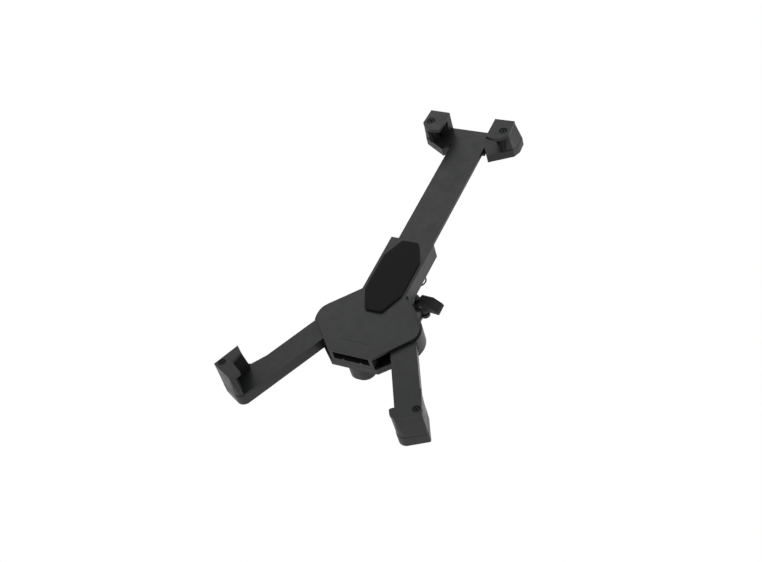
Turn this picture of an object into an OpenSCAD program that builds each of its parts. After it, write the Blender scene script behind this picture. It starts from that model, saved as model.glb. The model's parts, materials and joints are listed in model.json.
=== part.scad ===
// Tablet holder for a microphone stand: a moulded hub with a telescoping T bar
// and two swinging arms, carried by a swivel, a tilt joint and a pole clamp.
// X is right, Y is away from the reader, Z is up.  The tablet lies on the -Y side.
// The origin is the centre of the pole clamp's bore.

/* [Pole clamp] */
// Radius of the stand tube that the clamp holds
pole_r = 8.0; // [7.5:0.25:8.5]
// Height of the clamp collar
collar_h = 22; // [20:1:24]
// Thickness of the rubber sleeve in the collar
liner_t = 1.2; // [0.8:0.2:1.6]
// Outer radius of the collar
collar_r = 14; // [13.5:0.5:14.5]

/* [Hub] */
// Depth of the hub from its front face to its back
hub_d = 18; // [17:0.5:19]
// Thickness of the front plate
plate_t = 1.8; // [1.4:0.2:2.0]
// Half width of the neck
neck_hw = 18.4; // [18:0.1:19]
// Depth of the neck
neck_d = 14.1; // [13.8:0.1:14.6]
// Height of the top of the neck above the bottom of the hub
neck_top = 117.3; // [112:0.5:120]
// Distance of each arm pivot from the centre line
pivot_x = 30; // [29:0.5:31]
// Height of the arm pivots above the bottom of the hub
pivot_z = 28; // [27:0.5:29]
// Radius of the round lobes of the rear shell
lobe_r = 18.3; // [18.1:0.1:18.7]

/* [T bar] */
// Half width of the sliding bar
bar_hw = 14.7; // [14.4:0.1:14.8]
// Thickness of the sliding bar
bar_t = 3.4; // [3:0.1:3.4]
// Height of the top edge of the T above the bottom of the hub
bar_top = 250; // [240:1:255]
// Height of the lower end of the bar above the bottom of the hub
bar_low = 30; // [20:1:45]

/* [Arms] */
// Length of each arm from its pivot to its end
arm_len = 92.8; // [90:0.2:96]
// Half width of each arm
arm_hw = 9.8; // [9.2:0.1:10]
// Angle of each arm from straight down
arm_angle = 27.7; // [20:0.1:35]
// Reach of the lower hooks in front of the arms
low_reach = 22; // [20:0.5:24]
// Reach of the upper hooks in front of the T bar
top_reach = 17.5; // [16:0.5:20]

/* [Hidden] */
// Places, as [y, z] or single values, measured from the hub's front and bottom
pole_y = 46;
pole_z = 81;
tilt_y = 25.5;
swivel_z = 33;
bar_y = 4.3;
bar_back = bar_y + bar_t;
slot_back = 9.1;
parting_y = 12.2;
arm_front = 2.6;
arm_back = 11.9;
cam_x = 14.8;
cam_y = 35.3;
cam_z = 85.4;
brake_z = 92.9;
bail_y = 17.6;
bail_r = 5.5;

// ---- Shared shapes ----

// Everything is drawn from the hub's front face and bottom edge, then moved here
module from_hub() {
    translate([0, -pole_y, -pole_z]) children();
}

// Extrude a flat shape drawn in X and Z between two depths
module along_y(y0, y1) {
    translate([0, y1, 0]) rotate([90, 0, 0]) linear_extrude(y1 - y0) children();
}

// Round bar along Y, between two depths
module rod_y(x, z, r, y0, y1, n = 48) {
    translate([x, y1, z]) rotate([90, 0, 0]) cylinder(r = r, h = y1 - y0, $fn = n);
}

// Round bar along X
module rod_x(y, z, r, x0, x1, n = 48) {
    translate([x0, y, z]) rotate([0, 90, 0]) cylinder(r = r, h = x1 - x0, $fn = n);
}

// Box between two corners
module block(a, b) {
    translate(a) cube(b - a);
}

module both_sides() {
    children();
    mirror([1, 0, 0]) children();
}

// The right arm's own directions, from the hub's: X outward, Z down along the arm
module at_pivot() {
    translate([pivot_x, 0, pivot_z]) rotate([0, -arm_angle, 0]) mirror([0, 0, 1]) children();
}

// Half of an outline that runs from the neck, round a corner arc, to the bottom edge.
// c and r are the arc, up and low are the angles of the two sides' outward normals.
module lobe_outline(c, r, up, low, top_x, bottom_z, inset) {
    q = r - inset;
    t_up = c + q * [cos(up), sin(up)];
    t_low = c + q * [cos(low), sin(low)];
    neck_x = top_x - inset;
    neck_z = t_up[1] + (t_up[0] - neck_x) / tan(up);
    foot_z = bottom_z + inset;
    foot_x = t_low[0] + (foot_z - t_low[1]) * -tan(low);
    translate(c) circle(r = q, $fn = 72);
    polygon([[0, foot_z], [foot_x, foot_z], t_low, c, t_up, [neck_x, neck_z], [0, neck_z]]);
}

module plate_outline(inset = 0) {
    both_sides() lobe_outline([29.7, 31.7], 12.5, 43.3, -41.5, neck_hw, 0, inset);
}

module rear_outline(inset = 0) {
    both_sides() lobe_outline([25.4, 31.2], lobe_r, 44, -46, neck_hw, 0, inset);
}

// Flat shape of the pad, a long octagon
module pad_outline() {
    both_sides() polygon([[0, 42.2], [7, 42.2], [15.3, 61], [15.3, 96.4], [7, 114.4], [0, 114.4]]);
}

// Pan head screw along Y, with its head at the -Y end when out is -1, at the +Y end when out is 1
module screw_y(x, z, y_head, y_tip, head_r, shank_r, out) {
    head_h = head_r * 0.62;
    drive_w = head_r * 0.3;
    difference() {
        union() {
            rod_y(x, z, shank_r, min(y_head, y_tip), max(y_head, y_tip), 24);
            rod_y(x, z, head_r, out < 0 ? y_head : y_head - head_h, out < 0 ? y_head + head_h : y_head, 36);
        }
        for (a = [0, 90]) {
            translate([x, y_head, z]) rotate([0, a, 0])
                cube([head_r * 1.25, head_h * 0.9, drive_w], center = true);
        }
    }
}

// Six-sided nut along Y
module nut_y(x, z, across, y0, y1, bore_r) {
    difference() {
        translate([x, y1, z]) rotate([90, 0, 0]) cylinder(d = across / cos(30), h = y1 - y0, $fn = 6);
        rod_y(x, z, bore_r, y0 - 1, y1 + 1, 32);
    }
}

// ---- Hub ----

rail_x = 12;
channel_hw = 14.9;
shell_screw_low = [12, 4.6];
shell_screw_high = [22, 50];
post_r = 3.0;
post_end = 12.7;

// Front moulding: the plate, the neck's walls, the bar's channel and the arm posts
module front_shell() color("#2b2c2e") from_hub() {
    difference() {
        union() {
            along_y(0, plate_t) plate_outline();
            // neck walls, and the channel walls that carry on down through the hub
            both_sides() block([channel_hw, 0, 60], [neck_hw, 12.4, neck_top]);
            both_sides() block([channel_hw, 0.5, 0], [17.8, parting_y - 0.2, 61]);
            block([-neck_hw, 0, 60], [neck_hw, plate_t, neck_top]);
            // foot behind the slot, with its two small ribs
            block([-17.8, slot_back, 0], [17.8, parting_y - 0.2, 9]);
            both_sides() block([6.6, bar_back + 0.15, 0], [8.4, slot_back + 0.1, 9]);
            // rails that the bar's front face runs on
            both_sides() block([rail_x - 1, plate_t - 0.1, 14], [rail_x + 1, bar_y - 0.12, neck_top - 3]);
            // posts that the arms turn on
            both_sides() rod_y(pivot_x, pivot_z, post_r, plate_t - 0.1, post_end);
            both_sides() rod_y(pivot_x, pivot_z, 6, plate_t - 0.1, arm_front - 0.1);
            // bosses for the upper shell screws
            both_sides() rod_y(shell_screw_high[0], shell_screw_high[1], 3, plate_t - 0.1, parting_y - 0.2);
        }
        // shallow line across the plate, over the slot's foot
        block([-13.2, -0.1, 11.9], [9.8, 0.12, 12.15]);
        both_sides() rod_y(pivot_x, pivot_z, 1.45, 4.5, post_end + 1, 24);
        both_sides() rod_y(shell_screw_high[0], shell_screw_high[1], 1.15, 4, 13, 24);
        both_sides() rod_y(shell_screw_low[0], shell_screw_low[1], 1.15, slot_back + 0.6, 13, 24);
    }
}

brake_house_r = 6.2;
spring_pocket_r = 4.4;
stem_r = 2.0;

// Rear moulding: the dished back with its two lobes, and the back of the neck
module rear_shell() color("#303134") from_hub() {
    difference() {
        union() {
            difference() {
                along_y(parting_y, hub_d) rear_outline();
                along_y(parting_y - 1, hub_d - 2) rear_outline(2);
                block([-40, parting_y - 1, 66], [40, parting_y + 0.3, 80]);
            }
            // lobe walls, which run round to each arm's outer edge and stop it there
            difference() {
                along_y(plate_t + 0.5, parting_y + 0.1) difference() {
                    rear_outline();
                    rear_outline(2);
                }
                both_sides() at_pivot() block([-45, 0, -2], [arm_hw + 0.35, parting_y, 60]);
                block([-neck_hw - 0.15, 0, 30], [neck_hw + 0.15, 12.45, 90]);
            }
            // back of the neck, with the brake's spring housing and the bail's two ears
            block([-neck_hw, 12.45, 60], [neck_hw, neck_d, neck_top]);
            rod_y(0, brake_z, brake_house_r, neck_d - 0.1, 16.4);
            both_sides() bail_ear();
            // ribs that the bar's back runs on
            both_sides() block([6.6, bar_back + 0.15, 45.5], [8.4, hub_d - 1, 66]);
            both_sides() block([6.6, bar_back + 0.15, 65], [8.4, 13, neck_top - 2]);
            // bosses: arm pivots, shell screws, swivel
            both_sides() rod_y(pivot_x, pivot_z, 6, post_end + 0.15, hub_d - 1);
            both_sides() rod_y(shell_screw_high[0], shell_screw_high[1], 3.6, parting_y - 0.1, hub_d - 1);
            both_sides() rod_y(shell_screw_low[0], shell_screw_low[1], 3.4, parting_y, hub_d - 1);
            rod_y(0, swivel_z, 9, hub_d - 2.5, hub_d);
        }
        // recesses and holes of the arm pivot screws and the shell screws
        both_sides() rod_y(pivot_x, pivot_z, 3.9, 15.75, hub_d + 1, 36);
        both_sides() rod_y(pivot_x, pivot_z, 1.7, 12, 17, 24);
        for (p = [shell_screw_high, shell_screw_low]) {
            both_sides() rod_y(p[0], p[1], 2.7, 16.2, hub_d + 1, 36);
            both_sides() rod_y(p[0], p[1], 1.4, 11, 17, 24);
        }
        rod_y(0, swivel_z, 3.08, 10, hub_d + 1);
        // brake: pocket for the spring, and the stem's hole
        rod_y(0, brake_z, spring_pocket_r, 11, 15.4);
        rod_y(0, brake_z, stem_r + 0.06, 11, 20);
        // room for the front shell's foot
        block([-18, 8, -1], [18, parting_y + 0.02, 9.2]);
    }
}

// Small ear on the back of the neck that the wire bail turns in
module bail_ear() {
    difference() {
        union() {
            rod_x(bail_y, brake_z - bail_r, 1.4, 8, 10.5, 32);
            block([8, neck_d - 0.2, brake_z - bail_r - 1.4], [10.5, bail_y, brake_z - bail_r + 1.4]);
        }
        rod_x(bail_y, brake_z - bail_r, 0.66, 7, 12, 24);
    }
}

pad_t = 2.2;

// Rubber pad bonded to the plate and the neck
module front_pad() color("#1d1d1e") from_hub() {
    along_y(-pad_t, 0) pad_outline();
}

module shell_screws() color("#6a6c70") from_hub() {
    both_sides() screw_y(shell_screw_high[0], shell_screw_high[1], 17.8, 5, 2.4, 1.1, 1);
    both_sides() screw_y(shell_screw_low[0], shell_screw_low[1], 17.8, 10, 2.4, 1.1, 1);
}

module pivot_washers() color("#8a8c90") from_hub() {
    both_sides() difference() {
        rod_y(pivot_x, pivot_z, 7, arm_back + 0.05, post_end + 0.1);
        rod_y(pivot_x, pivot_z, post_r + 0.1, 10, 14);
    }
}

module pivot_screws() color("#6a6c70") from_hub() {
    both_sides() screw_y(pivot_x, pivot_z, 17.9, 5, 3.4, 1.4, 1);
}

// ---- T bar and upper hooks ----

t_back = 12;
hook_screw = [32.4, 237.2];

module slider_outline() {
    both_sides() polygon([[0, bar_low], [bar_hw, bar_low], [bar_hw, bar_top - 17.4], [16.2, bar_top - 20],
        [20.2, bar_top - 26.5], [39.5, bar_top - 15.6], [42.3, bar_top - 9.7], [41.9, bar_top], [0, bar_top]]);
}

// Sliding bar with its T end.  The T is thicker than the stem and hollowed at the back.
module slider_bar() color("#29292b") from_hub() {
    difference() {
        union() {
            along_y(bar_y, bar_back) slider_outline();
            along_y(bar_y, t_back) difference() {
                slider_outline();
                translate([-16.2, 0]) square([32.4, bar_top - 20]);
            }
        }
        // hollows in the back of the T, between its ribs
        block([-14, bar_back, bar_top - 18], [-1, t_back + 1, bar_top - 2.5]);
        block([1, bar_back, bar_top - 18], [14, t_back + 1, bar_top - 2.5]);
        both_sides() block([16, bar_back, bar_top - 15], [26, t_back + 1, bar_top - 2.5]);
        both_sides() rod_y(hook_screw[0], hook_screw[1], 1.45, 3, 10.5, 24);
    }
}

// Stop plate at the lower end of the bar's back, which keeps the bar in the neck
module bar_stop() color("#8a8c90") from_hub() {
    block([-5, bar_back + 0.01, bar_low + 1], [5, bar_back + 1.0, bar_low + 7]);
    rod_y(0, bar_low + 4, 2, bar_back + 0.9, bar_back + 1.3, 24);
}

lip_t = 2.8;
hook_base_y = bar_y;
hook_lip_y = bar_y - top_reach;

// Outline of the upper lip, right side
module upper_lip_outline() {
    polygon([[20.6, bar_top - 0.4], [37.7, bar_top - 0.1], [38.4, bar_top - 16.2], [33.4, bar_top - 21.8],
        [28.4, bar_top - 23.5], [20.7, bar_top - 22]]);
}

// Wall of a hook that flares from lip to base: hull of a thin slice at each end
module flared_wall(lip_pts, base_pts, y_lip, y_base) {
    hull() {
        along_y(y_lip, y_lip + 0.1) polygon(lip_pts);
        along_y(y_base - 0.1, y_base) polygon(base_pts);
    }
}

// Right upper hook: side wall, top wall, screw boss and lip
module upper_hook() {
    y_wall = hook_lip_y + lip_t - 0.1;
    difference() {
        union() {
            along_y(hook_lip_y, hook_lip_y + lip_t) upper_lip_outline();
            flared_wall(
                [[33.8, bar_top - 16.4], [38.3, bar_top - 16], [37.6, bar_top - 0.1], [33.8, bar_top - 0.1]],
                [[33.6, bar_top - 18], [39.3, bar_top - 15.4], [42.1, bar_top - 9.7], [41.7, bar_top],
                    [33.6, bar_top]], y_wall, hook_base_y);
            flared_wall(
                [[20.8, bar_top - 6.6], [35, bar_top - 6.6], [35, bar_top - 0.1], [20.7, bar_top - 0.4]],
                [[21.8, bar_top - 7.6], [35, bar_top - 7.6], [35, bar_top], [20.8, bar_top]],
                y_wall, hook_base_y);
            rod_y(hook_screw[0], hook_screw[1], 4.3, y_wall, hook_base_y, 36);
        }
        rod_y(hook_screw[0], hook_screw[1], 3.5, hook_lip_y - 1, hook_lip_y + 2.15, 36);
        rod_y(hook_screw[0], hook_screw[1], 1.7, hook_lip_y, hook_base_y + 1, 24);
    }
}

module upper_right_hook() color("#2a2a2c") from_hub() upper_hook();
module upper_left_hook() color("#2a2a2c") from_hub() mirror([1, 0, 0]) upper_hook();

// Rubber facing of the two inner walls of an upper hook
module upper_liner() {
    y0 = hook_lip_y + lip_t;
    y1 = hook_base_y;
    difference() {
        union() {
            block([22.2, y0, bar_top - 9.4], [27.9, y1, bar_top - 7.65]);
            block([30.4, y0, bar_top - 20.2], [33.5, y1, bar_top - 16.4]);
        }
        rod_y(hook_screw[0], hook_screw[1], 4.3, y0 - 1, y1 + 1, 36);
    }
}

module upper_right_liner() color("#1a1a1b") from_hub() upper_liner();
module upper_left_liner() color("#1a1a1b") from_hub() mirror([1, 0, 0]) upper_liner();

module upper_hook_screws() color("#3a3b3d") from_hub() {
    both_sides() screw_y(hook_screw[0], hook_screw[1], hook_lip_y + 0.3, 10, 2.9, 1.4, -1);
}

// ---- Arms and lower hooks, drawn along their own length ----

// Puts a shape drawn with X outward and Z towards the arm's end onto the right arm.
// In it, [q, y, s] is q outward, y depth and s along the arm from the pivot.
module on_right_arm() {
    from_hub() at_pivot() children();
}

module on_left_arm() {
    mirror([1, 0, 0]) on_right_arm() children();
}

flare_s = 54;
flare_end = 72.5;
flare_q = 13.2;
bush_r = 4.5;

// Flat outline of an arm, [q, s]
module arm_outline(inset = 0) {
    r_in = 6.4;
    hw = arm_hw - inset;
    end = arm_len - inset;
    circle(r = hw, $fn = 72);
    translate([-hw + r_in, end - r_in]) circle(r = r_in, $fn = 48);
    polygon([[-hw, 0], [hw, 0], [hw, flare_s], [flare_q - inset, flare_end], [flare_q - inset, end - 1],
        [flare_q - 1 - inset, end], [-hw + r_in, end], [-hw, end - r_in]]);
}

// Arm: a round eye at the pivot, a straight beam hollowed and ribbed at the back, a flared end
module arm() color("#28282a") {
    wall = 2.2;
    cell = 13.2;
    difference() {
        along_y(arm_front, arm_back) arm_outline();
        rod_y(0, 0, bush_r + 0.01, arm_front - 1, arm_back + 1);
        for (i = [0 : 3]) {
            s0 = 14 + i * cell;
            block([-arm_hw + wall, arm_front + 2.4, s0], [arm_hw - wall, arm_back + 1, s0 + cell - 1.8]);
        }
        rod_y(low_screw[0], low_screw[1], 1.45, arm_front - 1, 10.5, 24);
    }
}

module arm_bush() color("#c9c6bb") {
    difference() {
        rod_y(0, 0, bush_r, arm_front + 0.05, arm_back);
        rod_y(0, 0, post_r + 0.05, arm_front - 1, arm_back + 1);
    }
}

floor_t = 1.2;
low_lip_t = 2.4;
low_lip_y = arm_front - floor_t - low_reach;
low_screw = [9.3, 87.3];

// Lower hook: floor plate, L shaped walls that flare to the base, and the L shaped lip
module lower_hook() color("#2a2a2c") {
    floor_y = arm_front - floor_t;
    y_wall = low_lip_y + low_lip_t - 0.1;
    end = arm_len;
    difference() {
        union() {
            along_y(low_lip_y, low_lip_y + low_lip_t)
                polygon([[6.5, 72], [13.8, 70.2], [12.8, end - 0.4], [-7, end - 0.8], [-9.6, end - 4.3],
                    [-9.8, 84], [-8.8, 82.9], [3.9, 81.9]]);
            // outer wall
            flared_wall([[9.2, 71.5], [13.5, 71.5], [12.7, end - 0.5], [9.2, end - 0.5]],
                [[8.9, 69.4], [12.4, 69.6], [flare_q - 0.15, flare_end + 0.5], [flare_q - 0.15, end - 1.1],
                    [flare_q - 1.1, end - 0.1], [8.9, end - 0.1]], y_wall, floor_y + 0.1);
            // end wall
            flared_wall([[-9.4, end - 4.8], [11, end - 4.8], [11, end - 0.5], [-7, end - 0.9]],
                [[-9, end - 5.2], [11, end - 5.2], [11, end - 0.1], [-3.4, end - 0.1], [-5.8, end - 0.7],
                    [-7.8, end - 2.1], [-9, end - 4.1]], y_wall, floor_y + 0.1);
            // screw boss in the corner
            rod_y(low_screw[0], low_screw[1], 4.0, y_wall, floor_y + 0.1, 36);
            // floor plate on the arm's end
            along_y(floor_y, arm_front) intersection() {
                arm_outline(0.15);
                polygon([[-20, 75], [20, 66], [20, 120], [-20, 120]]);
            }
        }
        rod_y(low_screw[0], low_screw[1], 2.9, low_lip_y - 1, low_lip_y + 1.9, 36);
        rod_y(low_screw[0], low_screw[1], 1.7, low_lip_y, arm_front + 1, 24);
    }
}

// Rubber facing of the inner faces of a lower hook
module lower_liner() color("#1a1a1b") {
    y0 = low_lip_y + low_lip_t;
    y1 = arm_front - floor_t;
    block([7.2, y0, 71.5], [8.85, y1, 82.2]);
    block([-6.4, y0, arm_len - 7.2], [5.3, y1, arm_len - 5.25]);
}

module lower_hook_screw() color("#3a3b3d") {
    screw_y(low_screw[0], low_screw[1], low_lip_y + 0.3, 10, 2.5, 1.4, -1);
}

module left_arm() on_left_arm() arm();
module left_arm_bush() on_left_arm() arm_bush();
module lower_left_hook() on_left_arm() lower_hook();
module lower_left_liner() on_left_arm() lower_liner();
module lower_left_hook_screw() on_left_arm() lower_hook_screw();
module right_arm() on_right_arm() arm();
module right_arm_bush() on_right_arm() arm_bush();
module lower_right_hook() on_right_arm() lower_hook();
module lower_right_liner() on_right_arm() lower_liner();
module lower_right_hook_screw() on_right_arm() lower_hook_screw();

// ---- Bar brake and its release ----

shoe_front = bar_back + 0.06;
shoe_back = 9.8;
plate_back = 10.8;
tab_y0 = 17.2;
tab_t = 0.8;
wire_r = 0.6;

module brake_shoe() color("#3c2a22") from_hub() {
    block([-5.2, shoe_front, brake_z - 6], [5.2, shoe_back, brake_z + 6]);
}

// Backing plate, stem and head.  The bail's fork pulls on the head.
module brake_plunger() color("#9a9ca0") from_hub() {
    block([-5.2, shoe_back, brake_z - 6], [5.2, plate_back, brake_z + 6]);
    rod_y(0, brake_z, stem_r, plate_back - 0.1, tab_y0 + tab_t + 0.2);
    rod_y(0, brake_z, 3.2, tab_y0 + tab_t + 0.08, tab_y0 + tab_t + 1.2);
}

// Closed coils round the stem, as a stack of rings
module brake_spring() color("#b0b2b6") from_hub() {
    coil_r = 3.35;
    turns = 5;
    pitch = (15.35 - plate_back - 0.9) / (turns - 1);
    for (i = [0 : turns - 1]) {
        translate([0, plate_back + 0.45 + i * pitch, brake_z]) rotate([90, 0, 0])
            rotate_extrude($fn = 48) translate([coil_r, 0]) circle(r = 0.42, $fn = 16);
    }
}

// Wire loop across the back of the neck, with a pressed fork behind the stem's head
module release_bail() color("#3d3e40") from_hub() {
    half = 18.6 - wire_r - bail_r;
    z0 = brake_z - bail_r;
    z1 = brake_z + bail_r;
    rod_x(bail_y, z0, wire_r, -half, half, 24);
    rod_x(bail_y, z1, wire_r, -half, half, 24);
    both_sides() translate([half, bail_y, brake_z]) rotate([90, 0, 0]) rotate([0, 0, -90])
        rotate_extrude(angle = 180, $fn = 64) translate([bail_r, 0]) circle(r = wire_r, $fn = 24);
    difference() {
        block([-5, tab_y0, z0], [5, tab_y0 + tab_t, brake_z]);
        rod_y(0, brake_z, 2.5, tab_y0 - 1, tab_y0 + tab_t + 1);
    }
}

// ---- Swivel and tilt ----

disc_r = 16;
flange_y0 = hub_d + 1.0;
flange_y1 = 21.5;
arm_y1 = 29;
eye_r = 6.0;
eye_hw = 6.0;
ear_gap = 0.15;
tilt_bolt_r = 2.5;

// Tilt arm: the round flange of the swivel, a block down the back of the hub, and the tilt eye
module tilt_arm() color("#2d2e30") from_hub() {
    foot_z = 0.4;
    foot_r = 9;
    foot_y0 = hub_d + 0.35;
    foot_top = swivel_z - 16.8;
    block_hw = 10.5;
    block_y1 = 31;
    difference() {
        union() {
            rod_y(0, swivel_z, 17, flange_y0, flange_y1 + 0.1, 96);
            block([-block_hw, flange_y1, foot_z + foot_r], [block_hw, block_y1, 62]);
            // rounded foot, which comes forward to the back of the hub below the disc
            block([-block_hw, foot_y0, foot_z + foot_r], [block_hw, flange_y1 + 0.1, foot_top]);
            block([-block_hw + foot_r, foot_y0, foot_z], [block_hw - foot_r, block_y1, foot_z + foot_r + 1]);
            both_sides() rod_y(block_hw - foot_r, foot_z + foot_r, foot_r, foot_y0, block_y1, 72);
            block([-eye_hw, flange_y1, 61], [eye_hw, arm_y1, pole_z]);
            rod_x(tilt_y, pole_z, eye_r, -eye_hw, eye_hw, 72);
        }
        // room for the friction disc
        rod_y(0, swivel_z, disc_r + 0.4, hub_d, flange_y0, 96);
        rod_x(tilt_y, pole_z, tilt_bolt_r + 0.06, -10, 10);
        rod_y(0, swivel_z, 3.05, 15, 35);
        rod_y(0, swivel_z, 5.4, 24.5, 35);
    }
}

module friction_disc() color("#b7a98a") from_hub() {
    difference() {
        rod_y(0, swivel_z, disc_r, hub_d + 0.05, flange_y0 - 0.02, 96);
        rod_y(0, swivel_z, 3.6, 15, 25);
    }
}

module swivel_bolt() color("#6f7175") from_hub() {
    difference() {
        union() {
            rod_y(0, swivel_z, 3.0, 10.6, 25);
            rod_y(0, swivel_z, 5.0, 24.5, 28.6);
        }
        translate([0, 29, swivel_z]) rotate([90, 0, 0]) cylinder(d = 5 / cos(30), h = 2.6, $fn = 6);
    }
}

module swivel_washer() color("#8a8c90") from_hub() {
    difference() {
        rod_y(0, swivel_z, 7.6, 14.5, hub_d - 2.6);
        rod_y(0, swivel_z, 3.02, 10, 20);
    }
}

module swivel_nut() color("#8a8c90") from_hub() {
    nut_y(0, swivel_z, 10, 10.8, 14.48, 3.01);
}

// ---- Pole clamp, drawn from its own bore ----

collar_bore = pole_r + liner_t + 0.05;
lug_r = 3.9;
ear_r = 6.5;
ear_x1 = 11;
slit = 0.8;
cam_r = 5;
cam_throw = 0.5;
cam_gap = 0.12;
lug_y0 = cam_y - pole_y + cam_r + cam_throw + 1.35;
lug_y1 = 3.6;
draw_r = 1.5;
washer_r = 3.2;
nut_y0 = 1.65;

// Everything of the clamp is placed from the bore's centre
tilt_dy = tilt_y - pole_y;
cam_dy = cam_y - pole_y;
cam_dz = cam_z - pole_z;

module clamp_collar() color("#2b2c2e") {
    difference() {
        union() {
            translate([0, 0, -collar_h / 2]) cylinder(r = collar_r, h = collar_h, $fn = 96);
            // lugs that the draw bolt pulls together
            rod_y(cam_x, cam_dz, washer_r, lug_y0, 0, 64);
            rod_y(cam_x, cam_dz, lug_r, 0, lug_y1, 64);
            block([8, lug_y0, cam_dz - washer_r], [cam_x, lug_y1, cam_dz + washer_r]);
            // ears of the tilt joint
            both_sides() rod_x(tilt_dy, 0, ear_r, eye_hw + ear_gap, ear_x1, 64);
            both_sides() block([eye_hw + ear_gap, tilt_dy, -ear_r], [ear_x1, -9.6, ear_r]);
        }
        cylinder(r = collar_bore, h = collar_h * 3, center = true, $fn = 96);
        block([5, -slit, -collar_h], [30, slit, collar_h]);
        // room for the lever's cam, for the washer and for the bolt
        translate([cam_x, cam_dy, -0.4]) cylinder(r = cam_r + cam_throw + 0.25, h = collar_h, $fn = 64);
        rod_y(cam_x, cam_dz, washer_r + 0.25, cam_dy, lug_y0);
        rod_y(cam_x, cam_dz, draw_r + 0.2, -20, 20);
        // pocket of the draw nut, open to the back
        translate([cam_x, 20, cam_dz]) rotate([90, 0, 0])
            cylinder(d = 5.7 / cos(30), h = 20 - nut_y0 + 0.05, $fn = 6);
        rod_x(tilt_dy, 0, tilt_bolt_r + 0.06, -20, 20);
        // pocket of the tilt nut
        translate([ear_x1 - 3.2, tilt_dy, 0]) rotate([0, 90, 0]) cylinder(d = 8.1 / cos(30), h = 10, $fn = 6);
    }
}

module collar_liner() color("#1a1a1b") {
    difference() {
        translate([0, 0, -collar_h / 2 + 0.5]) cylinder(r = pole_r + liner_t, h = collar_h - 1, $fn = 96);
        cylinder(r = pole_r, h = collar_h * 3, center = true, $fn = 96);
        block([0, -slit, -collar_h], [30, slit, collar_h]);
    }
}

knob_r = 6.8;
knob_x0 = -ear_x1 - 7.5;
flute_at = knob_r + 1.3;

// Star knob moulded on the head of the tilt bolt
module tilt_knob() color("#27282a") {
    difference() {
        union() {
            rod_x(tilt_dy, 0, knob_r, knob_x0, -ear_x1 - 1.6, 72);
            rod_x(tilt_dy, 0, 4.8, -ear_x1 - 1.7, -ear_x1 - 0.15);
        }
        for (a = [0 : 60 : 300]) {
            rod_x(tilt_dy + flute_at * cos(a), flute_at * sin(a), 2.4, knob_x0 - 1, -ear_x1 - 1.5, 32);
        }
        rod_x(tilt_dy, 0, tilt_bolt_r + 0.01, -ear_x1 - 6.2, 0);
    }
}

module tilt_bolt() color("#8a8c90") {
    rod_x(tilt_dy, 0, tilt_bolt_r, -ear_x1 - 6, ear_x1 - 0.3);
}

module tilt_nut() color("#8a8c90") {
    difference() {
        translate([ear_x1 - 3.15, tilt_dy, 0]) rotate([0, 90, 0]) cylinder(d = 8 / cos(30), h = 3, $fn = 6);
        rod_x(tilt_dy, 0, tilt_bolt_r + 0.05, 0, 20);
    }
}

pin_r = 1.5;
eye_bolt_r = 3;
eye_bolt_h = 3.2;
lever_z0 = cam_dz - 4.4;
lever_tip_x = 33.6;

// Cam lever: an eccentric cheek above and below the bolt's eye, and a blade that droops to its tip
module cam_lever() color("#232325") {
    slot_h = eye_bolt_h + 0.4;
    difference() {
        intersection() {
            translate([0, 0, lever_z0 - 6]) linear_extrude(16) {
                translate([cam_x, cam_dy + cam_throw]) circle(r = cam_r, $fn = 64);
                polygon([[cam_x - 0.8, cam_dy - 4.42], [lever_tip_x - 1.4, cam_dy - 2.6],
                    [lever_tip_x, cam_dy - 1.4], [lever_tip_x - 1.2, cam_dy - 0.3], [cam_x + 1.8, cam_dy + 5.1]]);
            }
            along_y(cam_dy - 10, cam_dy + 10) translate([0, lever_z0])
                polygon([[cam_x - 7, 0], [cam_x + 5.3, 0], [lever_tip_x - 0.4, -4.4], [lever_tip_x + 1, -3.6],
                    [lever_tip_x + 1, 4.6], [lever_tip_x - 0.6, 5.8], [cam_x + 8.2, 9.5], [cam_x - 1.4, 9.1],
                    [cam_x - 2, 7.2], [cam_x - 7, 7]]);
        }
        // slot for the eye, open to the back for the bolt as the lever swings
        translate([cam_x, cam_dy, cam_dz - slot_h / 2]) linear_extrude(slot_h) {
            circle(r = eye_bolt_r + 0.2, $fn = 64);
            polygon([[1.8, 0], [1.8, 7], [-8, 7], [-8, 3.5], [-1, -1.4]]);
        }
        translate([cam_x, cam_dy, -10]) cylinder(r = pin_r + 0.05, h = 40, $fn = 36);
    }
}

module cam_pin() color("#8a8c90") {
    translate([cam_x, cam_dy, cam_dz - 4.2]) cylinder(r = pin_r, h = 8.4, $fn = 36);
}

// Eye bolt that the cam pulls on
module draw_bolt() color("#8a8c90") {
    difference() {
        union() {
            translate([cam_x, cam_dy, cam_dz - eye_bolt_h / 2])
                cylinder(r = eye_bolt_r, h = eye_bolt_h, $fn = 48);
            rod_y(cam_x, cam_dz, draw_r, cam_dy, 3.5, 36);
        }
        translate([cam_x, cam_dy, cam_dz - 5]) cylinder(r = pin_r + 0.02, h = 10, $fn = 36);
    }
}

module cam_washer() color("#8a8c90") {
    difference() {
        rod_y(cam_x, cam_dz, washer_r, cam_dy + cam_r + cam_throw + cam_gap, lug_y0 - 0.02, 48);
        rod_y(cam_x, cam_dz, draw_r + 0.1, -20, 10);
    }
}

// Nut that sits in the rear lug, so that only the lever turns
module draw_nut() color("#8a8c90") {
    nut_y(cam_x, cam_dz, 5.5, nut_y0, nut_y0 + 1.9, draw_r + 0.02);
}

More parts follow.
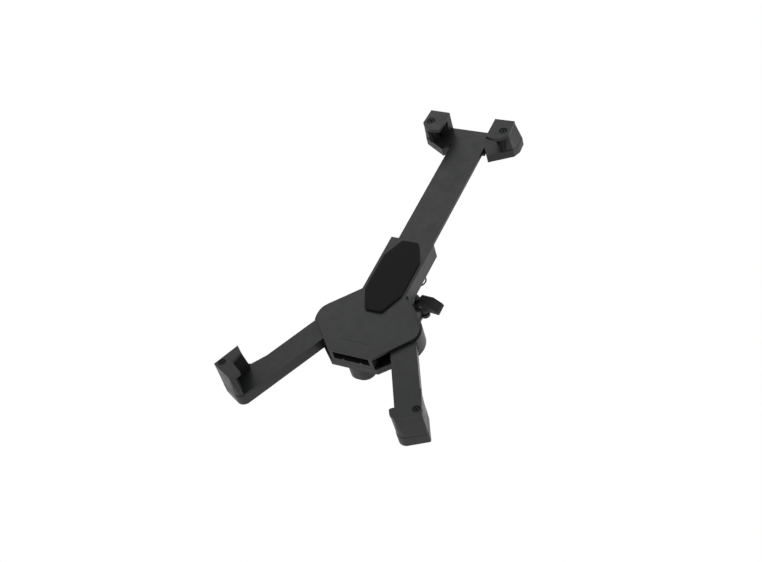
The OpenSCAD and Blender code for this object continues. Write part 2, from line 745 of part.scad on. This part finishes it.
front_shell();
rear_shell();
front_pad();
shell_screws();
slider_bar();
bar_stop();
upper_left_hook();
upper_right_hook();
upper_left_liner();
upper_right_liner();
upper_hook_screws();
left_arm();
left_arm_bush();
lower_left_hook();
lower_left_liner();
lower_left_hook_screw();
right_arm();
right_arm_bush();
lower_right_hook();
lower_right_liner();
lower_right_hook_screw();
pivot_washers();
pivot_screws();
brake_shoe();
brake_plunger();
brake_spring();
release_bail();
tilt_arm();
friction_disc();
swivel_bolt();
swivel_washer();
swivel_nut();
clamp_collar();
collar_liner();
tilt_knob();
tilt_bolt();
tilt_nut();
cam_lever();
cam_pin();
draw_bolt();
cam_washer();
draw_nut();
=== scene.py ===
import json
import math

import bmesh
import bpy
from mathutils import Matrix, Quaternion, Vector


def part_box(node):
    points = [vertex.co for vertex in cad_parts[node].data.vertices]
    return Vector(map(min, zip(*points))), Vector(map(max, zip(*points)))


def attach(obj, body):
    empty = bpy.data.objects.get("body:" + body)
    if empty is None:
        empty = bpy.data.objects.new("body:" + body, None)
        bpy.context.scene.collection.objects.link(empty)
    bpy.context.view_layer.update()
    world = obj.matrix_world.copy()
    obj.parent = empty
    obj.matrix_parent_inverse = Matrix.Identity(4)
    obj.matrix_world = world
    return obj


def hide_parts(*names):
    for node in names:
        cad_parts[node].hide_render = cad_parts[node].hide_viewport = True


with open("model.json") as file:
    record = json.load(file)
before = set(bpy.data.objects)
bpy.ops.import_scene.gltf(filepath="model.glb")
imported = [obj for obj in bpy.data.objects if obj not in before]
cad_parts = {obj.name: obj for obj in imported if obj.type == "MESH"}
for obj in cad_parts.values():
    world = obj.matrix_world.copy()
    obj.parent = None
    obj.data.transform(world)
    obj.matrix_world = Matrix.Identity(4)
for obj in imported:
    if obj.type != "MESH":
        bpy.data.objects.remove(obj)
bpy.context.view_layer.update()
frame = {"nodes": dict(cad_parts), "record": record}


# ---- Camera ----
# A short telephoto that stands low in front and to the right, and looks up at the holder.
# It is rolled about its own axis, so the bar leans to the right.
aim = Vector((-0.01415, -0.03388, 0.00031))
azimuth = math.radians(30.64)
elevation = math.radians(-33.28)
roll = math.radians(29.18)
distance = 1.0325
away = Vector((math.sin(azimuth) * math.cos(elevation), -math.cos(azimuth) * math.cos(elevation),
               math.sin(elevation)))
camera = bpy.data.objects.new("camera", bpy.data.cameras.new("camera"))
camera.data.sensor_width = 36
camera.data.lens = 62.66
camera.location = aim + away * distance
camera.rotation_mode = "QUATERNION"
camera.rotation_quaternion = (-away).to_track_quat("-Z", "Y") @ Quaternion((0, 0, 1), roll)
bpy.context.scene.collection.objects.link(camera)
bpy.context.scene.camera = camera


# ---- Hub shells ----
# Front and rear mouldings that clip round the bar and the arms, joined by four screws from behind.
# Injection moulded black ABS from a spark-eroded tool, so it is satin with a fine even grain.
def linear(hex_colour):
    """An sRGB hex colour as a linear RGBA value."""
    parts = [int(hex_colour[i:i + 2], 16) / 255 for i in (1, 3, 5)]
    return [c / 12.92 if c <= 0.04045 else ((c + 0.055) / 1.055) ** 2.4 for c in parts] + [1.0]


def add(tree, kind, settings, **links):
    """Add one shader node, set its options and sockets by name, and link sockets from other outputs."""
    made = tree.nodes.new("ShaderNode" + kind)
    for name, value in settings.items():
        if hasattr(made, name):
            setattr(made, name, value)
        else:
            made.inputs[name].default_value = value
    for name, source in links.items():
        socket = int(name[1:]) if name[0] == "_" else name.replace("_", " ")
        tree.links.new(source, made.inputs[socket])
    return made


def new_material(name):
    """An empty node material with its output, and object coordinates in metres."""
    made = bpy.data.materials.new(name)
    made.use_nodes = True
    made.node_tree.nodes.clear()
    out = made.node_tree.nodes.new("ShaderNodeOutputMaterial")
    place = made.node_tree.nodes.new("ShaderNodeTexCoord").outputs["Object"]
    return made, made.node_tree, out, place


MM = 0.001


def pitch(millimetres):
    """Noise scale, in features per metre, of a pattern with this spacing."""
    return 1 / (millimetres * MM)


def blend(tree, first, second, share):
    """Mix two colours, each a value or an output, by an output from 0 to 1; gives the colour output."""
    mix = add(tree, "Mix", {"data_type": "RGBA"}, _0=share)
    for index, colour in ((6, first), (7, second)):
        if isinstance(colour, list):
            mix.inputs[index].default_value = colour
        else:
            tree.links.new(colour, mix.inputs[index])
    return mix.outputs[2]


def edge_wear_and_highlight(tree, radius, sharpest, most):
    """How much each sharp edge is lightened, from 0 to most, and the rounded normal that it is found from.
    The lightening is edge wear, and on the ABS it is also a painted highlight.
    """
    round_edge = add(tree, "Bevel", {"samples": 4, "Radius": radius})
    flat = add(tree, "NewGeometry", {})
    facing = add(tree, "VectorMath", {"operation": "DOT_PRODUCT"}, _0=round_edge.outputs["Normal"],
                 _1=flat.outputs["Normal"])
    wear_highlight_mask = add(tree, "MapRange", {"From Min": 0.99, "From Max": sharpest, "To Min": 0.0, "To Max": most},
               Value=facing.outputs["Value"])
    return wear_highlight_mask.outputs["Result"], round_edge.outputs["Normal"]


def moulded_abs(name, dark, light, roughness=0.40, grain=0.55, sheen=0.26, rubbed_and_highlight_colour="#3a3b3d"):
    """Black ABS with spark-eroded grain, its sharp edges lightened in rubbed patches: partly edge wear,
    partly a painted highlight. The mould's grain is 0.1 mm; it is drawn at grain mm to show.
    """
    made, tree, out, place = new_material(name)
    flow = add(tree, "TexNoise", {"Scale": pitch(38), "Detail": 3.0, "Roughness": 0.55}, Vector=place)
    fine = add(tree, "TexNoise", {"Scale": pitch(grain), "Detail": 2.0, "Roughness": 0.6}, Vector=place)
    rubbed = add(tree, "TexNoise", {"Scale": pitch(9), "Detail": 5.0, "Roughness": 0.7}, Vector=place)
    tone = blend(tree, linear(dark), linear(light), flow.outputs["Fac"])
    wear_highlight_mask, rounded = edge_wear_and_highlight(tree, 0.45 * MM, sharpest=0.80, most=0.5)
    # The sharp edges are lightened in patches: partly edge wear, partly a painted highlight along the
    # edges.
    patchy_wear_and_highlight = add(tree, "Math", {"operation": "MULTIPLY"}, _0=wear_highlight_mask, _1=rubbed.outputs["Fac"])
    colour = blend(tree, tone, linear(rubbed_and_highlight_colour), patchy_wear_and_highlight.outputs[0])
    rough = add(tree, "MapRange", {"From Min": 0.3, "From Max": 0.7, "To Min": roughness - 0.05,
                                   "To Max": roughness + 0.07}, Value=rubbed.outputs["Fac"])
    bump = add(tree, "Bump", {"Strength": 0.35, "Distance": 0.03 * MM}, Height=fine.outputs["Fac"],
               Normal=rounded)
    shader = add(tree, "BsdfPrincipled", {"IOR": 1.52, "Specular IOR Level": sheen}, Base_Color=colour,
                 Roughness=rough.outputs["Result"], Normal=bump.outputs["Normal"])
    tree.links.new(shader.outputs["BSDF"], out.inputs["Surface"])
    return made


def finish_node(name, material):
    """Give a CAD node its material in every slot."""
    part = frame["nodes"][name]
    for place in part.material_slots:
        place.material = material


def break_edges(name, radius):
    """Round the sharp edges of a CAD node by a small radius, as its mould or tool leaves them."""
    part = frame["nodes"][name]
    weld = part.modifiers.new("weld", "WELD")
    weld.merge_threshold = 0.002 * MM
    merge = part.modifiers.new("flats", "DECIMATE")
    merge.decimate_type = "DISSOLVE"
    merge.angle_limit = math.radians(0.3)
    edge = part.modifiers.new("edges", "BEVEL")
    edge.width = radius
    edge.segments = 2
    edge.limit_method = "ANGLE"
    edge.angle_limit = math.radians(32)
    edge.use_clamp_overlap = True
    edge.miter_outer = "MITER_ARC"
    shade = part.modifiers.new("shade", "WEIGHTED_NORMAL")
    shade.weight = 50


shell_abs = moulded_abs("moulded_abs_hub", "#131415", "#191a1b")
for name in ("front_shell", "rear_shell"):
    finish_node(name, shell_abs)
    break_edges(name, 0.3 * MM)


# ---- T bar, hooks, arms, swivel arm, collar and knob ----
# The other mouldings, each with its own tool.  Black ABS, a touch duller than the hub's shells.
# The bar slides in the neck, the hooks are screwed on, and the arms turn on the hub's posts.
bar_abs = moulded_abs("moulded_abs_bar", "#121314", "#191a1b", roughness=0.42)
for name in ("slider_bar", "upper_left_hook", "upper_right_hook", "left_arm", "right_arm",
             "lower_left_hook", "lower_right_hook", "tilt_arm", "clamp_collar", "tilt_knob"):
    finish_node(name, bar_abs)
    break_edges(name, 0.3 * MM)


# ---- Cam lever ----
# The clamp's quick lever, a tapering blade on an eccentric fork.
# Moulded glass-filled nylon from a blasted tool, so its grain is duller and coarser than the ABS.
# The lever's sharp edges get the same lightening: partly edge wear, partly a painted highlight.
lever_nylon = moulded_abs("moulded_nylon_lever", "#131415", "#1a1b1c", roughness=0.48, grain=0.7,
                          sheen=0.30, rubbed_and_highlight_colour="#303132")
finish_node("cam_lever", lever_nylon)
break_edges("cam_lever", 0.5 * MM)


# ---- Front pad ----
# A long eight-sided pad bonded to the plate and the neck, for the back of the tablet to rest on.
# Compression moulded black rubber: rounded corners, a rolled rim and a slight crown; dead matt.
def moulded_rubber(name, dark, light):
    """Matt rubber with a faint dusty bloom.  The mould's 0.1 mm blasting is drawn at 0.45 mm to show."""
    made, tree, out, place = new_material(name)
    bloom = add(tree, "TexNoise", {"Scale": pitch(14), "Detail": 4.0, "Roughness": 0.65}, Vector=place)
    blast = add(tree, "TexNoise", {"Scale": pitch(0.45), "Detail": 2.0}, Vector=place)
    wear_highlight_mask, rounded = edge_wear_and_highlight(tree, 0.3 * MM, sharpest=0.85, most=0.35)
    tone = blend(tree, linear(dark), linear(light), bloom.outputs["Fac"])
    colour = blend(tree, tone, linear("#2c2c2c"), wear_highlight_mask)
    rough = add(tree, "MapRange", {"From Min": 0.3, "From Max": 0.7, "To Min": 0.80, "To Max": 0.90},
                Value=bloom.outputs["Fac"])
    bump = add(tree, "Bump", {"Strength": 0.4, "Distance": 0.03 * MM}, Height=blast.outputs["Fac"],
               Normal=rounded)
    shader = add(tree, "BsdfPrincipled", {"IOR": 1.5, "Specular IOR Level": 0.14}, Base_Color=colour,
                 Roughness=rough.outputs["Result"], Normal=bump.outputs["Normal"])
    tree.links.new(shader.outputs["BSDF"], out.inputs["Surface"])
    return made


def new_piece(name, body, replaced, mesh, material, smooth=True):
    """Put a bmesh in the scene as a piece that rides on a body and stands for a CAD node."""
    bmesh.ops.recalc_face_normals(mesh, faces=mesh.faces)
    for face in mesh.faces:
        face.smooth = smooth
    data = bpy.data.meshes.new(name)
    mesh.to_mesh(data)
    mesh.free()
    piece = bpy.data.objects.new(name, data)
    bpy.context.scene.collection.objects.link(piece)
    data.materials.append(material)
    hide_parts(replaced)
    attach(piece, body)
    return piece


def rounded_polygon(corners, inset, radius, steps=6):
    """Points of a convex polygon, wound anticlockwise, moved in by inset, with rounded corners."""
    count = len(corners)
    moved = []
    for i in range(count):
        before, here, after = corners[i - 1], corners[i], corners[(i + 1) % count]
        d1, d2 = (here - before).normalized(), (after - here).normalized()
        n1, n2 = Vector((-d1.y, d1.x)), Vector((-d2.y, d2.x))
        moved.append((here + (n1 + n2) * (inset / (1 + n1.dot(n2))), d1, d2))
    points = []
    for corner, d1, d2 in moved:
        half_turn = d1.angle(d2) / 2
        back = radius * math.tan(half_turn)
        n1, n2 = Vector((-d1.y, d1.x)), Vector((-d2.y, d2.x))
        centre = corner - d1 * back + n1 * radius
        for k in range(steps + 1):
            spoke = (-n1).lerp(-n2, k / steps).normalized()
            points.append(centre + spoke * radius)
    return points


rubber = moulded_rubber("moulded_rubber_pad", "#101010", "#171717")
low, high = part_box("front_pad")
pad_z = (low.z + high.z) / 2
half_w = (high.x - low.x) / 2
half_l = (high.z - low.z) / 2
end_half = 0.4575 * half_w          # half the width of its two ends
low_shoulder = 18.8 * MM - half_l   # where its sides start to draw in, below and above the middle
high_shoulder = half_l - 18.0 * MM
corner_radius = 3.0 * MM
least_radius = 0.6 * MM
pad_corners = [Vector(p) for p in ((-end_half, -half_l), (end_half, -half_l), (half_w, low_shoulder),
                                   (half_w, high_shoulder), (end_half, half_l), (-end_half, half_l),
                                   (-half_w, high_shoulder), (-half_w, low_shoulder))]
thick = high.y - low.y
# Each ring of the pad, as how far in from the rim and how far out from the plate
rings = [(0.7 * MM, 0.0), (0.7 * MM, 0.45 * MM), (0.0, 0.7 * MM), (0.0, thick - 0.9 * MM),
         (0.12 * MM, thick - 0.5 * MM), (0.4 * MM, thick - 0.22 * MM), (0.8 * MM, thick - 0.06 * MM),
         (1.4 * MM, thick), (3.0 * MM, thick + 0.08 * MM), (5.5 * MM, thick + 0.16 * MM),
         (8.0 * MM, thick + 0.20 * MM)]
mesh = bmesh.new()
loops = []
for inset, out_by in rings:
    radius = max(corner_radius - inset, least_radius)
    loops.append([mesh.verts.new((p.x, high.y - out_by, pad_z + p.y))
                  for p in rounded_polygon(pad_corners, inset, radius)])
for lower, upper in zip(loops, loops[1:]):
    for i in range(len(lower)):
        j = (i + 1) % len(lower)
        mesh.faces.new((lower[i], lower[j], upper[j], upper[i]))
mesh.faces.new(loops[0])
mesh.faces.new(loops[-1])
pad = new_piece("front_pad_rubber", "hub", "front_pad", mesh, rubber)


# ---- Hook liners and brake shoe ----
# Soft facings bonded inside the hooks where the tablet's edge touches, and the shoe that brakes the bar.
# Moulded rubber strips, each with a row of fine rounded ribs on its working face.
points_per_rib = 8


def ribbed_strips(name, body, node, material, towards, rib, depth):
    """One piece for a CAD node of box-shaped strips, with ribs on the sides facing the point towards."""
    source = bmesh.new()
    source.from_mesh(frame["nodes"][node].data)
    bmesh.ops.remove_doubles(source, verts=source.verts, dist=0.001 * MM)
    source.verts.index_update()
    source.edges.index_update()
    left = set(source.verts)
    mesh = bmesh.new()
    # Everything is taken in index order, because a set's own order changes from run to run
    while left:
        island, border = set(), [min(left, key=lambda v: v.index)]
        while border:
            vert = border.pop()
            if vert in island:
                continue
            island.add(vert)
            border += [edge.other_vert(vert) for edge in vert.link_edges]
        left -= island
        island = sorted(island, key=lambda v: v.index)
        edges = sorted({edge for vert in island for edge in vert.link_edges}, key=lambda e: e.index)
        flat = [Vector((e.verts[1].co.x - e.verts[0].co.x, e.verts[1].co.z - e.verts[0].co.z))
                for e in edges if abs(e.verts[1].co.y - e.verts[0].co.y) < 0.01 * MM
                and len(e.link_faces) == 2 and e.calc_face_angle(0) > 0.5]
        along = max(flat, key=lambda d: d.length).normalized()
        across = Vector((-along.y, along.x))
        middle = sum((v.co for v in island), Vector()) / len(island)
        if across.dot(Vector((towards.x - middle.x, towards.z - middle.z))) < 0:
            across = -across
        us = [v.co.x * along.x + v.co.z * along.y for v in island]
        vs = [v.co.x * across.x + v.co.z * across.y for v in island]
        ys = [v.co.y for v in island]
        length, height = max(us) - min(us), max(vs) - min(vs)
        ribs = max(2, round(length / rib))
        count = ribs * points_per_rib
        shape = [(0.0, 0.0), (length, 0.0)]
        for k in range(count, -1, -1):
            drop = depth * (0.5 + 0.5 * math.cos(2 * math.pi * ribs * k / count))
            shape.append((length * k / count, height - drop))
        ends = []
        for y in (min(ys), max(ys)):
            ring = []
            for u, v in shape:
                place = along * (min(us) + u) + across * (min(vs) + v)
                ring.append(mesh.verts.new((place.x, y, place.y)))
            ends.append(ring)
        for i in range(len(shape)):
            j = (i + 1) % len(shape)
            mesh.faces.new((ends[0][i], ends[0][j], ends[1][j], ends[1][i]))
        mesh.faces.new(ends[0])
        mesh.faces.new(ends[1])
    source.free()
    piece = new_piece(name, body, node, mesh, material, smooth=False)
    soften = piece.modifiers.new("soften", "BEVEL")
    soften.width = 0.12 * MM
    soften.segments = 2
    soften.angle_limit = math.radians(50)
    return piece


hub_middle = (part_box("left_arm_bush")[0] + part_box("right_arm_bush")[1]) / 2
for node, body in (("upper_left_liner", "slider"), ("upper_right_liner", "slider"),
                   ("lower_left_liner", "left_arm"), ("lower_right_liner", "right_arm")):
    ribbed_strips(node + "_ribbed", body, node, rubber, hub_middle, rib=0.9 * MM, depth=0.25 * MM)
shoe_rubber = moulded_rubber("brake_rubber", "#1f1613", "#2a1d18")
ribbed_strips("brake_shoe_ribbed", "brake", "brake_shoe", shoe_rubber, hub_middle, rib=1.7 * MM,
              depth=0.2 * MM)


# ---- Collar sleeve ----
# The split rubber sleeve in the pole clamp that grips the tube, with shallow grooves down its bore.
# Extruded rubber, cut to length, pressed into the collar.
low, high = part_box("collar_liner")
outer = (high.y - low.y) / 2
mount = frame["record"]["mounts"][0]["dims"]["r_mm"] * MM
split_half = 0.8 * MM
groove_depth = 0.18 * MM
lead_in = 0.4 * MM
lead_out = 0.3 * MM
half_gap = math.asin(split_half / mount)
steps = 144
profile = []
for k in range(steps + 1):
    angle = half_gap + (2 * math.pi - 2 * half_gap) * k / steps
    groove = groove_depth if k % 6 in (2, 3) else 0.0
    profile.append((angle, mount + groove))
mesh = bmesh.new()
rows = []
for z in (low.z, low.z + lead_in, high.z - lead_in, high.z):
    ease = lead_out if z in (low.z, high.z) else 0.0
    rows.append([[mesh.verts.new((r * math.cos(a), r * math.sin(a), z)) for r in
                  (inner + ease, outer - ease)] for a, inner in profile])
for lower, upper in zip(rows, rows[1:]):
    for i in range(steps):
        for side in (0, 1):
            mesh.faces.new((lower[i][side], lower[i + 1][side], upper[i + 1][side], upper[i][side]))
    for i in (0, steps):
        mesh.faces.new((lower[i][0], lower[i][1], upper[i][1], upper[i][0]))
for row in (rows[0], rows[-1]):
    for i in range(steps):
        mesh.faces.new((row[i][0], row[i][1], row[i + 1][1], row[i + 1][0]))
new_piece("collar_sleeve_grooved", "clamp", "collar_liner", mesh, rubber, smooth=False)


# ---- Bright steel parts ----
# Screws, washers, bolts, nuts and pins of the joints.  Cold headed or turned steel, zinc plated, so a
# pale blue-grey metal with fine turning lines and a duller bloom where it has been handled.
def plated_steel(name, dark, light, roughness, stretch):
    """Steel with a patchy bloom and fine lines, stretched by axis.  They are coarser than real, to show."""
    made, tree, out, place = new_material(name)
    drawn = add(tree, "Mapping", {"vector_type": "POINT"}, Vector=place)
    drawn.inputs["Scale"].default_value = stretch
    lines = add(tree, "TexNoise", {"Scale": pitch(0.35), "Detail": 3.0}, Vector=drawn.outputs["Vector"])
    bloom = add(tree, "TexNoise", {"Scale": pitch(5), "Detail": 4.0, "Roughness": 0.6}, Vector=place)
    wear_highlight_mask, rounded = edge_wear_and_highlight(tree, 0.15 * MM, sharpest=0.85, most=0.5)
    tone = blend(tree, linear(dark), linear(light), bloom.outputs["Fac"])
    colour = blend(tree, tone, linear("#c4c6c9"), wear_highlight_mask)
    rough = add(tree, "MapRange", {"From Min": 0.3, "From Max": 0.7, "To Min": roughness - 0.06,
                                   "To Max": roughness + 0.08}, Value=bloom.outputs["Fac"])
    bump = add(tree, "Bump", {"Strength": 0.25, "Distance": 0.01 * MM}, Height=lines.outputs["Fac"],
               Normal=rounded)
    shader = add(tree, "BsdfPrincipled", {"Metallic": 1.0}, Base_Color=colour,
                 Roughness=rough.outputs["Result"], Normal=bump.outputs["Normal"])
    tree.links.new(shader.outputs["BSDF"], out.inputs["Surface"])
    return made


along_screw = Vector((1.0, 0.15, 1.0))
zinc = plated_steel("zinc_plated_steel", "#9a9ea6", "#b6b9bf", 0.34, along_screw)
for name in ("shell_screws", "pivot_screws", "pivot_washers", "bar_stop", "brake_plunger", "swivel_bolt",
             "swivel_washer", "swivel_nut", "tilt_bolt", "tilt_nut", "cam_pin", "draw_bolt",
             "cam_washer", "draw_nut"):
    finish_node(name, zinc)
    break_edges(name, 0.1 * MM)
spring_steel = plated_steel("spring_wire", "#7d8085", "#92959a", 0.28, Vector((1.0, 1.0, 1.0)))
finish_node("brake_spring", spring_steel)


# ---- Black steel parts ----
# The screws in the hooks' lips and the wire bail behind the neck.
# Headed or bent steel with a black oxide finish, oiled, which wears to grey on its edges.
oxide = plated_steel("black_oxide_steel", "#17181a", "#232427", 0.42, along_screw)
for name in ("upper_hook_screws", "lower_left_hook_screw", "lower_right_hook_screw", "release_bail"):
    finish_node(name, oxide)
for name in ("upper_hook_screws", "lower_left_hook_screw", "lower_right_hook_screw"):
    break_edges(name, 0.12 * MM)


# ---- Bushes and friction disc ----
# The arms' bushes and the disc that the hub swivels on.  Natural nylon, turned on a lathe, waxy and
# slightly yellow, with faint tool rings.
def turned_nylon(name, dark, light):
    """Natural nylon, waxy.  Its lathe rings are 0.15 mm apart, and drawn about 1.3 mm apart to show."""
    made, tree, out, place = new_material(name)
    cloud = add(tree, "TexNoise", {"Scale": pitch(7), "Detail": 3.0}, Vector=place)
    rings = add(tree, "TexWave", {"wave_type": "RINGS", "rings_direction": "Y", "Scale": pitch(4),
                                  "Distortion": 0.6, "Detail": 1.0}, Vector=place)
    wear_highlight_mask, rounded = edge_wear_and_highlight(tree, 0.2 * MM, sharpest=0.85, most=0.5)
    tone = blend(tree, linear(dark), linear(light), cloud.outputs["Fac"])
    colour = blend(tree, tone, linear("#e6dfc9"), wear_highlight_mask)
    rough = add(tree, "MapRange", {"From Min": 0.3, "From Max": 0.7, "To Min": 0.38, "To Max": 0.5},
                Value=cloud.outputs["Fac"])
    bump = add(tree, "Bump", {"Strength": 0.3, "Distance": 0.02 * MM}, Height=rings.outputs["Fac"],
               Normal=rounded)
    shader = add(tree, "BsdfPrincipled",
                 {"IOR": 1.53, "Subsurface Weight": 0.1, "Subsurface Scale": 0.8 * MM},
                 Base_Color=colour, Roughness=rough.outputs["Result"], Normal=bump.outputs["Normal"])
    tree.links.new(shader.outputs["BSDF"], out.inputs["Surface"])
    return made


nylon = turned_nylon("natural_nylon", "#c2b89c", "#d3cab0")
for name in ("left_arm_bush", "right_arm_bush", "friction_disc"):
    finish_node(name, nylon)
    break_edges(name, 0.15 * MM)


# ---- Floor, surroundings and lights ----
# A flat pale paper floor far below, a white surround, and two large soft lights.
# The surround does most of the lighting; the two lights give the mouldings their direction.
floor = bpy.data.objects.new("floor", bpy.data.meshes.new("floor"))
drop = -1.2
reach = 6.0
floor.data.from_pydata([(-reach, -reach, drop), (reach, -reach, drop), (reach, reach, drop),
                        (-reach, reach, drop)], [], [(0, 1, 2, 3)])
bpy.context.scene.collection.objects.link(floor)
paper, tree, out, place = new_material("pale_paper")
fibre = add(tree, "TexNoise", {"Scale": pitch(6), "Detail": 4.0}, Vector=place)
paper_bump = add(tree, "Bump", {"Strength": 0.1, "Distance": 0.2 * MM}, Height=fibre.outputs["Fac"])
paper_shader = add(tree, "BsdfPrincipled", {"Base Color": linear("#f4f3f1"), "Roughness": 0.9},
                   Normal=paper_bump.outputs["Normal"])
tree.links.new(paper_shader.outputs["BSDF"], out.inputs["Surface"])
floor.data.materials.append(paper)

world = bpy.data.worlds.new("white_surround")
world.use_nodes = True
world.node_tree.nodes["Background"].inputs["Color"].default_value = (1, 1, 1, 1)
world.node_tree.nodes["Background"].inputs["Strength"].default_value = 1.0
bpy.context.scene.world = world
bpy.context.scene.view_settings.view_transform = "Standard"


def softbox(name, place, size, watts):
    """A square area light at a place, aimed at the holder."""
    lamp = bpy.data.objects.new(name, bpy.data.lights.new(name, "AREA"))
    lamp.data.shape = "SQUARE"
    lamp.data.size = size
    lamp.data.energy = watts
    lamp.location = place
    lamp.rotation_euler = (aim - Vector(place)).to_track_quat("-Z", "Y").to_euler()
    bpy.context.scene.collection.objects.link(lamp)


softbox("key", (-1.2, -1.4, 1.4), 1.0, 6)
softbox("side", (1.6, 0.3, 0.4), 0.8, 14)
